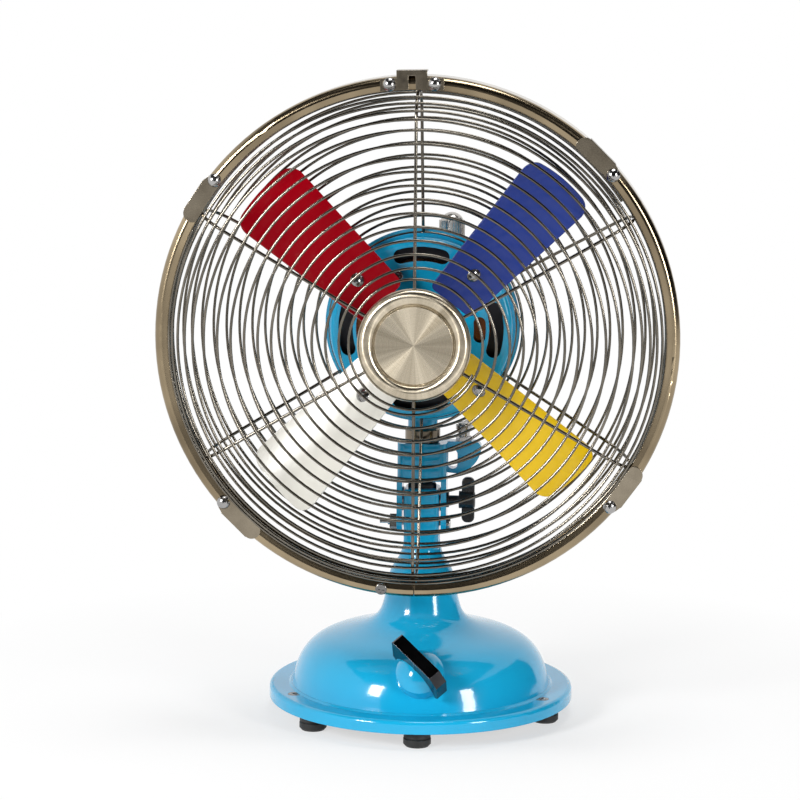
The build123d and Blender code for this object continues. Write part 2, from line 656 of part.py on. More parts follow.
def link_bar():
    end_x, end_y = crank_pin_place()
    dx = end_x - ARM_PIN_PLACE[0]
    dy = end_y - ARM_PIN_PLACE[1]
    length = hypot(dx, dy)
    bar = Pos(length / 2, 0, 0) * Box(length, 8, LINK_T)
    bar = bar + Cylinder(LINK_EYE_R, LINK_T) + Pos(length, 0, 0) * Cylinder(LINK_EYE_R, LINK_T)
    eye = Cylinder(ARM_PIN_R + FIT, LINK_T + 2)
    bar = bar - eye - Pos(length, 0, 0) * eye
    turn = degrees(atan2(dy, dx))
    return ARM_PIN * Pos(0, 0, LINK_Z + LINK_T / 2) * Rot(0, 0, turn) * bar


# ---- motor ------------------------------------------------------------------
def arc_slot(inset_by, width, half_angle, at):
    middle = COVER_R - inset_by
    arc = CenterArc((0, 0), middle, at - half_angle + degrees(width / 2 / middle),
                    2 * half_angle - 2 * degrees(width / 2 / middle))
    return Pos(0, 0, COVER_FRONT - 6) * extrude(SlotArc(arc, width), 12)


def cover_front():
    inner_r = COVER_R - COVER_WALL
    inner_z = COVER_FRONT - COVER_WALL
    shell = spin([(0, COVER_FRONT), (COVER_R, COVER_FRONT), (COVER_R, 0), (HEM_R, 0), (HEM_R, HEM_BACK),
                  (COVER_R, HEM_BACK), (COVER_R, COVER_BACK), (inner_r, COVER_BACK),
                  (inner_r, inner_z), (0, inner_z)])
    edge = [e for e in shell.edges() if e.geom_type == GeomType.CIRCLE
            and abs(e.radius - COVER_R) < 0.1 and abs(e.center().Z - COVER_FRONT) < 0.1]
    shell = fillet(edge, COVER_EDGE)
    shell = shell + upright(BUSH_R + 3, inner_z - BUSH_LEN, COVER_FRONT + 1.5)
    for i in range(4):
        shell = shell - arc_slot(*OUTER_SLOT, 90 * i)
    for i in range(2):
        shell = shell - arc_slot(*INNER_SLOT, 180 * i)
    for at in COVER_SCREW_ANGLES:
        shell = shell - at_angle(at, COVER_SCREW_CIRCLE) * upright(COVER_SCREW_R + FIT, 0, COVER_FRONT + 2)
    return HEAD * (shell - upright(BUSH_R + FIT, 0, COVER_FRONT + 3))


def cover_screws():
    screws = []
    for at in COVER_SCREW_ANGLES:
        screw = pan_head(3.5, 2, COVER_FRONT) + upright(COVER_SCREW_R, STATOR_FRONT + 0.2, COVER_FRONT)
        screws.append(HEAD * at_angle(at, COVER_SCREW_CIRCLE) * (screw - cross_recess(3.5, COVER_FRONT + 2)))
    return screws


def housing_outline(inset_by):
    """Rear housing from its joint with the front cover to its flat back."""
    return [
        (MOTOR_R - inset_by, HOUSING_SHOULDER),
        (MOTOR_R - 4 - inset_by, HOUSING_SHOULDER - 6),
        (HOUSING_BACK_R + 9 - inset_by, HOUSING_BACK + 3.5 + inset_by * 0.6),
        (HOUSING_BACK_R - inset_by, HOUSING_BACK + inset_by),
    ]


def rear_housing():
    outer = [(0, COVER_BACK), (FLANGE_RING_R, COVER_BACK), (FLANGE_RING_R, COVER_BACK - 3),
             (MOTOR_R, COVER_BACK - 3)] + housing_outline(0) + [(0, HOUSING_BACK)]
    inner = [(0, 0), (COVER_R - COVER_WALL, 0)] + housing_outline(HOUSING_WALL)
    inner += [(0, HOUSING_BACK + HOUSING_WALL)]
    shell = spin(outer)
    drop = AXIS_Z - COLLAR_Z - COLLAR_H
    boss = Pos(0, -drop, HEAD_Y) * Rot(-90, 0, 0) * upright(NECK_BOSS_R, 0, drop - MOTOR_R + 12)
    shell = shell + boss - spin(inner)
    pocket = Pos(0, -drop, HEAD_Y) * Rot(-90, 0, 0) * upright(POST_R + FIT, -1, 8 + FIT)
    shell = shell - pocket + upright(BUSH_R + 3, HOUSING_BACK, HOUSING_BACK + BUSH_LEN)
    for i in range(12):
        at = -75 + 150 * i / 11 + 90
        vent = Pos(0, 0, -22) * Box(8, 2.2, 14)
        shell = shell - at_angle(at, MOTOR_R) * vent
    return HEAD * (shell - upright(BUSH_R + FIT, HOUSING_BACK - 1, 0))


def stator_core():
    outer = COVER_R - COVER_WALL - FIT
    core = tube(outer, STATOR_IN_R, STATOR_BACK, STATOR_FRONT)
    for i in range(16):
        slot = upright(3, STATOR_BACK - 1, STATOR_FRONT + 1)
        core = core - at_angle(i * 22.5 + 11.25, STATOR_IN_R + 6) * slot
        core = core - at_angle(i * 22.5 + 11.25, STATOR_IN_R + 1.5) * Box(6, 1.6, 80)
    return HEAD * core


def stator_windings():
    outer = COVER_SCREW_CIRCLE + 8
    inner = STATOR_IN_R + 2.9
    front = tube(outer, inner, STATOR_FRONT, STATOR_FRONT + 8)
    back = tube(outer, inner, STATOR_BACK - 7, STATOR_BACK)
    front = fillet(front.edges().group_by(Axis.Z)[-1], 3)
    back = fillet(back.edges().group_by(Axis.Z)[0], 3)
    for at in COVER_SCREW_ANGLES:
        front = front - at_angle(at, COVER_SCREW_CIRCLE) * upright(COVER_SCREW_R + 0.6, -5, 20)
    return [HEAD * front, HEAD * back]


def front_bush():
    front = COVER_FRONT + 1.5
    return HEAD * tube(BUSH_R, SHAFT_R + FIT, COVER_FRONT - COVER_WALL - BUSH_LEN, front)


def rear_bush():
    return HEAD * tube(BUSH_R, SHAFT_R + FIT, HOUSING_BACK, HOUSING_BACK + BUSH_LEN)


def motor_shaft():
    worm_end = HEAD_Y - CLUTCH_Y - WORM_LEN / 2 - 1
    return HEAD * upright(SHAFT_R, worm_end, SHAFT_FRONT)


def rotor_core():
    core = upright(ROTOR_R, STATOR_BACK, STATOR_FRONT)
    outer = ROTOR_R - 1
    inner = ROTOR_R - 10
    rings = tube(outer, inner, STATOR_BACK - 3, STATOR_BACK) + tube(outer, inner, STATOR_FRONT, STATOR_FRONT + 3)
    return HEAD * (core + rings - upright(SHAFT_R + FIT, -60, 30))


# ---- blades -----------------------------------------------------------------
def blade_angle(index):
    return BLADE_FIRST_ANGLE + 360 / BLADE_COUNT * index


def blade_frame(index):
    """X runs out along the blade, Y across its width and Z off its front face."""
    return HEAD * Rot(0, 0, blade_angle(index)) * Pos(0, 0, BLADE_PLANE) * Rot(BLADE_PITCH, 0, 0)


def blade(index):
    tip_edge = sqrt(BLADE_TIP**2 - BLADE_TIP_HALF**2)
    outline = Polyline((tip_edge, BLADE_TIP_HALF), (BLADE_ROOT, BLADE_ROOT_HALF),
                       (BLADE_ROOT, -BLADE_ROOT_HALF), (tip_edge, -BLADE_TIP_HALF))
    outline = outline + ThreePointArc((tip_edge, -BLADE_TIP_HALF), (BLADE_TIP, 0), (tip_edge, BLADE_TIP_HALF))
    face = make_face(outline)
    face = fillet(face.vertices().filter_by(lambda v: v.X > BLADE_TIP / 2), BLADE_CORNER)
    face = fillet(face.vertices().filter_by(lambda v: v.X < BLADE_ROOT + 1), 5)
    prism = Pos(0, 0, -5) * extrude(face, 30)
    centre = BLADE_CAMBER_R
    sheet = Pos(BLADE_TIP / 2, 0, centre) * Rot(0, 90, 0) * (
        Cylinder(BLADE_CAMBER_R, 2 * BLADE_TIP) - Cylinder(BLADE_CAMBER_R - BLADE_T, 2 * BLADE_TIP + 2))
    plate = prism & sheet
    return blade_frame(index) * (plate - Pos(BLADE_RIVET_U, 0, 0) * upright(BLADE_RIVET_R + FIT, -9, 9))


def blade_hub():
    hub = upright(HUB_R, BLADE_PLANE - HUB_LEN / 2, BLADE_PLANE + HUB_LEN / 2)
    hub = fillet(hub.edges(), 1.5)
    body = HEAD * hub
    for index in range(BLADE_COUNT):
        arm = Pos(ARM_TIP / 2, 0, -ARM_T / 2) * Box(ARM_TIP, ARM_W, ARM_T)
        arm = fillet(arm.edges().filter_by(Axis.Z).group_by(Axis.X)[-1], ARM_W * 0.4)
        arm = arm - Pos(BLADE_RIVET_U, 0, 0) * upright(BLADE_RIVET_R + FIT, -9, 9)
        body = body + blade_frame(index) * arm
    return body - HEAD * upright(SHAFT_R + FIT, 0, BLADE_PLANE + HUB_LEN)


def blade_rivets():
    rivets = []
    seat = BLADE_T + 0.1
    for index in range(BLADE_COUNT):
        rivet = dome_head(BLADE_RIVET_HEAD_R, 2.6, seat) + upright(BLADE_RIVET_R, -ARM_T - 0.2, seat)
        rivet = rivet + upright(BLADE_RIVET_R + 1.6, -ARM_T - 1.4, -ARM_T)
        rivets.append(blade_frame(index) * Pos(BLADE_RIVET_U, 0, 0) * rivet)
    return rivets


def shaft_nut():
    top = BLADE_PLANE + HUB_LEN / 2
    return HEAD * (hexagon(13, top, top + 5) - upright(SHAFT_R + FIT, top - 1, top + 6))


# ---- cage -------------------------------------------------------------------
class Dish:
    """Outline of one half of the cage: a straight flank from its eye, then an arc to the rim.

    The arc ends along the fan's axis. It bends to the back (1) or to the front (-1).
    """

    def __init__(self, eye, end, curve_r, bend):
        across_r = end[0] - curve_r - eye[0]
        across_z = end[1] - eye[1]
        reach = hypot(across_r, across_z)
        self.eye = eye
        self.curve_r = curve_r
        self.bend = bend
        self.slope = atan2(across_z, across_r) + bend * asin(curve_r / reach)
        self.flank = sqrt(reach**2 - curve_r**2)
        self.length = self.flank + curve_r * (pi / 2 + bend * self.slope)

    def direction(self, run):
        """Angle of the outline after a run along it."""
        return self.slope - self.bend * max(run - self.flank, 0) / self.curve_r

    def point(self, run):
        """Radius and height after a run from the eye along the outline."""
        straight = min(run, self.flank)
        way = self.direction(run)
        r = self.eye[0] + straight * cos(self.slope)
        z = self.eye[1] + straight * sin(self.slope)
        r += self.bend * self.curve_r * (sin(self.slope) - sin(way))
        z += self.bend * self.curve_r * (cos(way) - cos(self.slope))
        return r, z

    def beside(self, run, offset):
        """A point next to the outline, in the local XZ plane."""
        r, z = self.point(run)
        way = self.direction(run)
        return (r - offset * sin(way), 0, z + offset * cos(way))


# The arcs would end beside the outer rings, which the spokes then touch.
FRONT_DISH = Dish((FRONT_EYE_R, FRONT_EYE_Z), (GUARD_RING_R - 0.5, FRONT_RING_Z - 0.7), FRONT_CURVE_R, 1)
REAR_DISH = Dish((REAR_RING_R + REAR_EYE_OUT, REAR_RING_Z - REAR_EYE_SINK),
                 (GUARD_RING_R - 0.1, BACK_RING_Z + 0.5), REAR_CURVE_R, -1)
HUB_RING_Z = FRONT_EYE_Z - SPOKE_DROP - (FRONT_EYE_R - HUB_RING_R) * tan(FRONT_DISH.slope)
BADGE_SEAT = HUB_RING_Z - SPOKE_R


def spiral_points(dish, runs, start):
    """Ends of the half turns, clockwise from the front, for a list of runs along the dish."""
    points = []
    for i, run in enumerate(runs):
        r, z = dish.point(run)
        angle = radians(start - 180 * i)
        points.append(Vector(r * cos(angle), r * sin(angle), z))
    return points


def wire_spiral(points, start):
    """One unbroken wire: each half turn is a half circle that meets the next one smoothly."""
    edges = []
    for i, (a, b) in enumerate(zip(points, points[1:])):
        angle = radians(start - 180 * i - 90)
        aside = Vector(cos(angle), sin(angle), 0)
        middle = (a + b) * 0.5 + aside * ((b - a).length / 2)
        edges.append(ThreePointArc(a, middle, b))
    path = Wire(edges)
    start_plane = Plane(origin=path @ 0, z_dir=path % 0)
    return sweep(start_plane * Circle(WIRE_R), path=path)


def ring(radius, z, wire_r=WIRE_R):
    return Pos(0, 0, z) * Torus(radius, wire_r)


def dish_spokes(dish, offset, from_run):
    """Spokes parallel to the dish's outline, offset along its normal."""
    to_run = dish.length - SPOKE_SHORT
    bend = dish.beside(dish.flank, offset)
    line = Line(dish.beside(from_run, offset), bend)
    arc = ThreePointArc(bend, dish.beside((dish.flank + to_run) / 2, offset), dish.beside(to_run, offset))
    path = Wire([line, arc])
    spoke = sweep(Plane(origin=path @ 0, z_dir=path % 0) * Circle(SPOKE_R), path=path)
    return [Rot(0, 0, SPOKE_FIRST + 360 / SPOKE_COUNT * i) * spoke for i in range(SPOKE_COUNT)]


def spiral_runs(dish, pitch, shoulder_pitch, rest_turns):
    """Runs at each half turn: some turns at the eye, then a steady pitch out to the rim."""
    end_r = GUARD_RING_R - SPIRAL_SHORT
    runs = [0.0] * (1 + int(rest_turns * 2))
    run = pitch / 4 if rest_turns else pitch / 2
    while dish.point(run)[0] < end_r and run < dish.length:
        runs.append(run)
        run += (pitch if run < dish.flank - 3 else shoulder_pitch) / 2
    return runs


def front_guard():
    """One spiral wire welded onto the front of six spokes, and the rings that end the spokes."""
    runs = spiral_runs(FRONT_DISH, SPIRAL_PITCH, SHOULDER_PITCH, 0.5)
    spiral = wire_spiral(spiral_points(FRONT_DISH, runs, SPIRAL_START), SPIRAL_START)
    grid = ring(GUARD_RING_R, FRONT_RING_Z, GUARD_RING_WIRE) + ring(HUB_RING_R, HUB_RING_Z, SPOKE_R)
    inner_run = (HUB_RING_R - FRONT_EYE_R) / cos(FRONT_DISH.slope)
    return [HEAD * spiral, HEAD * grid.fuse(*dish_spokes(FRONT_DISH, -SPOKE_DROP, inner_run))]


def rear_guard():
    """The same for the rear: a spiral welded onto spokes between an inner and an outer ring."""
    runs = spiral_runs(REAR_DISH, REAR_PITCH, SHOULDER_PITCH * 1.3, 0)
    start = SPIRAL_START + 60
    spiral = wire_spiral(spiral_points(REAR_DISH, runs, start), start)
    grid = ring(GUARD_RING_R, BACK_RING_Z, GUARD_RING_WIRE) + ring(REAR_RING_R, REAR_RING_Z, REAR_RING_WIRE)
    return [HEAD * spiral, HEAD * grid.fuse(*dish_spokes(REAR_DISH, SPOKE_DROP, REAR_SPOKE_START))]


def rim_section():
    """Outline of the rim band: an open channel, rounded at its front."""
    inner = RIM_R - RIM_LIP
    wall = RIM_R - RIM_WALL
    front = RIM_FRONT
    bend = RIM_R - RIM_ROUND
    outer_arc = ThreePointArc((RIM_R, 0, front - RIM_ROUND),
                              (bend + RIM_ROUND * 0.7071, 0, front - RIM_ROUND * 0.2929), (bend, 0, front))
    small = RIM_ROUND - RIM_WALL
    inner_arc = ThreePointArc((bend, 0, front - RIM_WALL),
                              (bend + small * 0.7071, 0, front - RIM_ROUND + small * 0.7071),
                              (wall, 0, front - RIM_ROUND))
    lines = Polyline((bend, 0, front), (inner, 0, front - RIM_DIP), (inner, 0, front - RIM_DIP - RIM_WALL),
                     (bend, 0, front - RIM_WALL))
    back = Polyline((wall, 0, front - RIM_ROUND), (wall, 0, RIM_BACK + RIM_WALL),
                    (inner, 0, RIM_BACK + RIM_WALL), (inner, 0, RIM_BACK), (RIM_R, 0, RIM_BACK),
                    (RIM_R, 0, front - RIM_ROUND))
    return make_face(outer_arc + lines + inner_arc + back)


def rim_band():
    band = revolve(rim_section(), Axis.Z)
    split = Box(RIM_SPLIT, 4 * RIM_LIP, 2 * (RIM_FRONT - RIM_BACK))
    band = band - Pos(0, -RIM_R, (RIM_FRONT + RIM_BACK) / 2) * split
    for angle in CLIP_ANGLES:
        band = band - at_angle(angle, CLIP_CIRCLE) * upright(CLIP_RIVET_R + FIT, RIM_FRONT - 5, RIM_FRONT + 1)
    for side in (-1, 1):
        hole = Pos(side * BRACKET_RIVET_X, -BRACKET_RIVET_SAG, 0) * upright(
            CLIP_RIVET_R + FIT, RIM_FRONT - 5, RIM_FRONT + 1)
        band = band - rim_frame(BRACKET_ANGLE) * hole
    hole = upright(RIM_SCREW_R + FIT, RIM_FRONT - 5, RIM_FRONT + 1)
    return HEAD * (band - at_angle(RIM_SCREW_ANGLE, CLIP_CIRCLE) * hole)


def rim_frame(angle):
    """X runs along the rim clockwise and Y points outward, from the clips' circle."""
    return Rot(0, 0, angle - 90) * Pos(0, CLIP_CIRCLE, 0)


def rim_screw():
    head = pan_head(4.2, 2.4, RIM_FRONT)
    screw = head + upright(RIM_SCREW_R, RIM_FRONT - 8, RIM_FRONT + 0.5) - cross_recess(4.2, RIM_FRONT + 2.4)
    return HEAD * at_angle(RIM_SCREW_ANGLE, CLIP_CIRCLE) * screw


# ---- badge, bracket and clips ----------------------------------------------
def badge():
    """Spun disc: a raised ring around a flat middle, hollow behind, with a screw boss."""
    seat = BADGE_SEAT + 2 * SPOKE_R
    top = seat + BADGE_H
    ring_mid = (BADGE_R + BADGE_STEP_R) / 2
    groove = (BADGE_STEP_R, 0, top - 3.0)
    outer = Polyline((0, 0, top - 1.8), (BADGE_STEP_R - 1.2, 0, top - 1.8), groove)
    outer = outer + ThreePointArc(groove, (ring_mid - 0.6, 0, top), (BADGE_R, 0, seat + 1.0))
    outer = outer + Polyline((BADGE_R, 0, seat + 1.0), (BADGE_R, 0, seat), (HUB_RING_R - 1.5, 0, seat),
                             (HUB_RING_R - 1.5, 0, seat + BADGE_T),
                             (BADGE_STEP_R + 2, 0, top - 3.4), (BADGE_STEP_R - 1.2, 0, top - 1.8 - 2.2),
                             (0, 0, top - 1.8 - 2.2), (0, 0, top - 1.8))
    disc = spin_edges(outer)
    boss = upright(6, seat - 2 * SPOKE_R, top - 3)
    return HEAD * (disc + boss - upright(BADGE_SCREW_R + FIT, seat - 6, top - 3.4))


def badge_backplate():
    plate = tube(HUB_RING_R + 0.1, BADGE_SCREW_R + FIT, BADGE_SEAT - BACKPLATE_T, BADGE_SEAT)
    return HEAD * plate


def badge_screw():
    low = BADGE_SEAT - BACKPLATE_T
    screw = upright(BADGE_SCREW_R, low, BADGE_SEAT + 4) + upright(4.5, low - 2, low)
    return HEAD * screw


def rivet_on(frame, base):
    back = RIM_FRONT - RIM_WALL - 1.3
    rivet = dome_head(CLIP_RIVET_HEAD_R, 3.0, base) + upright(CLIP_RIVET_R, back - 1, base)
    return HEAD * frame * (rivet + upright(CLIP_RIVET_R + 0.5, back - 1.2, back))


def clip_bottom():
    return RIM_FRONT + AIR


def guard_clip(angle):
    """Spring clip: a plate on the rim's face and a finger flange that stands outside the rim."""
    end = CLIP_LEN
    low_end = sqrt(CLIP_CIRCLE**2 - end**2) - CLIP_CIRCLE
    outline = Polyline((end - 2, low_end - CLIP_HALF), (0, -CLIP_HALF), (-CLIP_HALF, 0), (0, CLIP_HALF + 0.4),
                       (4.5, CLIP_HALF + 1.4), (end - 4, low_end + CLIP_HALF + 2.6))
    outline = outline + ThreePointArc((end - 4, low_end + CLIP_HALF + 2.6), (end + 1.2, low_end),
                                      (end - 2, low_end - CLIP_HALF))
    base = clip_bottom()
    plate = Pos(0, 0, base) * extrude(make_face(outline), CLIP_T)
    run_x = end - 8.5
    run_y = low_end + 1.2
    length = hypot(run_x, run_y)
    flange = Box(length, CLIP_T, CLIP_FLANGE_D)
    turn = degrees(atan2(run_y, run_x))
    root_y = CLIP_HALF + 1.8 - CLIP_T / 2
    place = Pos(4.5 + run_x / 2, root_y + run_y / 2, base + CLIP_T - CLIP_FLANGE_D / 2)
    plate = plate + place * Rot(0, 0, turn) * flange
    plate = plate - upright(CLIP_RIVET_R + FIT, base - 1, base + 2)
    return HEAD * rim_frame(angle) * plate.mirror(Plane.YZ)


def top_bracket():
    base = RIM_FRONT
    thick = 1.2
    low = CLIP_INSET - RIM_LIP
    high = CLIP_INSET - 0.6
    sag = CLIP_CIRCLE - sqrt(CLIP_CIRCLE**2 - BRACKET_HALF**2)
    face = make_face(Polyline((-BRACKET_HALF, low - sag + 0.6), (0, low + 0.4), (BRACKET_HALF, low - sag + 0.6),
                              (BRACKET_HALF, high - sag), (0, high), (-BRACKET_HALF, high - sag), close=True))
    plate = Pos(0, 0, base) * extrude(face, thick)
    rise = CLIP_INSET + BRACKET_TAB_RISE
    tab = Pos(0, (high + rise) / 2 - 1, base + thick / 2)
    plate = plate + tab * Box(2 * BRACKET_TAB_HALF, rise - high + 2, thick)
    hook = Pos(0, rise - thick / 2, base + thick - BRACKET_HOOK / 2)
    plate = plate + hook * Box(2 * BRACKET_TAB_HALF, thick, BRACKET_HOOK)
    slot = Pos(0, low + 4.6, base) * Box(2 * BRACKET_SLOT_HALF, 10.5, 6)
    plate = plate - slot
    for side in (-1, 1):
        hole = upright(CLIP_RIVET_R + FIT, base - 1, base + 3)
        plate = plate - Pos(side * BRACKET_RIVET_X, -BRACKET_RIVET_SAG, 0) * hole
    return HEAD * rim_frame(BRACKET_ANGLE) * plate


def clip_rivets():
    return [rivet_on(at_angle(angle, CLIP_CIRCLE), clip_bottom() + CLIP_T + 0.1) for angle in CLIP_ANGLES]


def bracket_rivets():
    frame = rim_frame(BRACKET_ANGLE)
    return [rivet_on(frame * Pos(side * BRACKET_RIVET_X, -BRACKET_RIVET_SAG, 0), RIM_FRONT + 1.2)
            for side in (-1, 1)]


# ---- gear case --------------------------------------------------------------
def case_block(left, right, front, back, low, high, edge):
    box = Box(right - left, back - front, high - low)
    box = fillet(box.edges().filter_by(Axis.Z), edge)
    return Pos((left + right) / 2, (front + back) / 2, (low + high) / 2) * box


def gear_case():
    case = case_block(CASE_LEFT, CASE_RIGHT, CASE_FRONT, CASE_BACK, CASE_LOW, CASE_HIGH, 7)
    case = case - case_block(CASE_LEFT + CASE_WALL, CASE_RIGHT - CASE_WALL, CASE_FRONT + CASE_WALL,
                             CASE_BACK - CASE_WALL, CASE_LOW + CASE_WALL, CASE_HIGH + 1, 4)
    for x, y in lid_screw_places():
        case = case + Pos(x, y, 0) * upright(3.4, CASE_LOW + 1, CASE_HIGH)
        case = case - Pos(x, y, 0) * upright(1.5 + FIT, CASE_HIGH - 8, CASE_HIGH + 1)
    case = case + CLUTCH * upright(CRANK_TUBE_R, CRANK_TUBE_Z, CASE_LOW + CASE_WALL + 2)
    case = case - CLUTCH * upright(CRANK_SHAFT_R + 2 + FIT, CRANK_TUBE_Z - 1, CASE_LOW + CASE_WALL + 3)
    shaft_way = Pos(0, CASE_FRONT, AXIS_Z) * Rot(90, 0, 0) * Cylinder(SHAFT_R + 1.2, 3 * CASE_WALL)
    return case - shaft_way


def lid_screw_places():
    inset_by = 5.6
    return [(CASE_LEFT + inset_by, CASE_FRONT + inset_by), (CASE_LEFT + inset_by, CASE_BACK - inset_by),
            (CASE_RIGHT - inset_by, CASE_FRONT + inset_by), (CASE_RIGHT - inset_by, CASE_BACK - inset_by)]


def gear_case_lid():
    lid = case_block(CASE_LEFT, CASE_RIGHT, CASE_FRONT, CASE_BACK, CASE_HIGH, CASE_HIGH + CASE_LID_T, 7)
    sleeve = upright(SLEEVE_R, CASE_HIGH + 1, SLEEVE_TOP)
    sleeve = sleeve + spin([(0, CASE_HIGH + CASE_LID_T), (SLEEVE_R + 5, CASE_HIGH + CASE_LID_T),
                            (SLEEVE_R, CASE_HIGH + CASE_LID_T + 8), (0, CASE_HIGH + CASE_LID_T + 8)])
    lid = lid + CLUTCH * sleeve - CLUTCH * upright(CRANK_SHAFT_R + FIT, CASE_HIGH - 1, SLEEVE_TOP + 1)
    for x, y in lid_screw_places():
        lid = lid - Pos(x, y, 0) * upright(1.5 + FIT, CASE_HIGH - 1, CASE_HIGH + 9)
        lid = lid - Pos(x, y, 0) * upright(3.2, CASE_HIGH + CASE_LID_T, CASE_HIGH + 20)
    return lid


def lid_screws():
    top = CASE_HIGH + CASE_LID_T
    screw = pan_head(2.9, 1.8, top) + upright(1.5, CASE_HIGH - 7, top + 0.3) - cross_recess(2.9, top + 1.8)
    return [Pos(x, y, 0) * screw for x, y in lid_screw_places()]


def crank_bush():
    outer = CRANK_SHAFT_R + 2
    return CLUTCH * tube(outer, CRANK_SHAFT_R + FIT, CRANK_TUBE_Z, CASE_LOW + CASE_WALL + 2)


def worm():
    """Steel worm on the shaft's end: a core and one thread that climbs along it."""
    core_r = WORM_R - WHEEL_MODULE
    mid = HEAD_Y - CLUTCH_Y
    thread_pitch = pi * WHEEL_MODULE
    turns_len = 6 * thread_pitch
    path = Helix(thread_pitch, turns_len, core_r)
    start = Plane(origin=(core_r, 0, 0), x_dir=(1, 0, 0), z_dir=(0, 1, 0))
    half_root, half_tip = 0.62, 0.36
    tooth = start * make_face(Polyline((-0.5, -half_root), (2 * WHEEL_MODULE - 0.15, -half_tip),
                                       (2 * WHEEL_MODULE - 0.15, half_tip), (-0.5, half_root), close=True))
    thread = sweep(tooth, path=path, is_frenet=True)
    sleeve = upright(core_r + 0.1, mid - WORM_LEN / 2, mid + WORM_LEN / 2)
    body = sleeve + Pos(0, 0, mid - turns_len / 2) * thread
    return HEAD * (body - upright(SHAFT_R + FIT, mid - 20, mid + 20))


def worm_wheel():
    root_r = WHEEL_R - 1.2 * WHEEL_MODULE
    tip_r = WHEEL_R + 0.85 * WHEEL_MODULE
    points = []
    for i in range(WHEEL_TEETH):
        middle = 2 * pi * i / WHEEL_TEETH + pi / WHEEL_TEETH
        for r, half in ((root_r, 0.95), (tip_r, 0.38), (tip_r, -0.38), (root_r, -0.95)):
            a = middle - half / r
            points.append((r * cos(a), r * sin(a)))
    gear = extrude(make_face(Polyline(*points, close=True)), WHEEL_FACE / 2, both=True)
    gear = gear + Cylinder(6, WHEEL_FACE + 3) - Cylinder(CRANK_SHAFT_R + FIT, 20)
    return CLUTCH * Pos(0, 0, AXIS_Z) * gear


def crank():
    wheel_half = (WHEEL_FACE + 3) / 2
    shaft = upright(CRANK_SHAFT_R, CRANK_Z, AXIS_Z + wheel_half + 3)
    shaft = shaft + upright(5, AXIS_Z - wheel_half - AIR - 3, AXIS_Z - wheel_half - AIR)
    arm = Pos(CRANK_THROW / 2, 0, 0) * Box(CRANK_THROW, 10, CRANK_T)
    arm = arm + Cylinder(6, CRANK_T) + Pos(CRANK_THROW, 0, 0) * Cylinder(5, CRANK_T)
    arm = Pos(0, 0, CRANK_Z + CRANK_T / 2) * arm
    pin = Pos(CRANK_THROW, 0, 0) * upright(3, CRANK_PIN_Z, CRANK_Z + 1)
    return CLUTCH * Rot(0, 0, CRANK_REST) * (shaft + arm + pin)


def clutch_stem():
    bottom = AXIS_Z + (WHEEL_FACE + 3) / 2 + 3 + AIR
    return CLUTCH * upright(CRANK_SHAFT_R, bottom, SLEEVE_TOP + AIR + CLUTCH_KNOB_H - 5)


def clutch_knob():
    """Knurled knob: straight grip ribs around it and a domed top."""
    low = SLEEVE_TOP + AIR
    top = low + CLUTCH_KNOB_H
    side = top - 6
    rim = []
    for i in range(2 * CLUTCH_KNURLS):
        radius = CLUTCH_KNOB_R - 0.7 * (i % 2)
        angle = pi * i / CLUTCH_KNURLS
        rim.append((radius * cos(angle), radius * sin(angle)))
    grip = Pos(0, 0, low) * extrude(make_face(Polyline(*rim, close=True)), side - low)
    shoulder = CLUTCH_KNOB_R - 1.1
    bore = CRANK_SHAFT_R + FIT
    hole_top = top - 5
    dome_r = (shoulder**2 + (top - side) ** 2) / (2 * (top - side))
    half_turn = asin(shoulder / dome_r) / 2
    middle = (dome_r * sin(half_turn), 0, top - dome_r * (1 - cos(half_turn)))
    edges = Polyline((0, 0, top), (0, 0, hole_top), (bore, 0, hole_top), (bore, 0, low + 1),
                     (shoulder, 0, low + 1), (shoulder, 0, side))
    edges = edges + ThreePointArc((shoulder, 0, side), middle, (0, 0, top))
    grip = grip - upright(bore + 1, low - 1, side + 1)
    collar = tube(bore + 2, bore, low, low + 2)
    return CLUTCH * (grip + collar + spin_edges(edges))


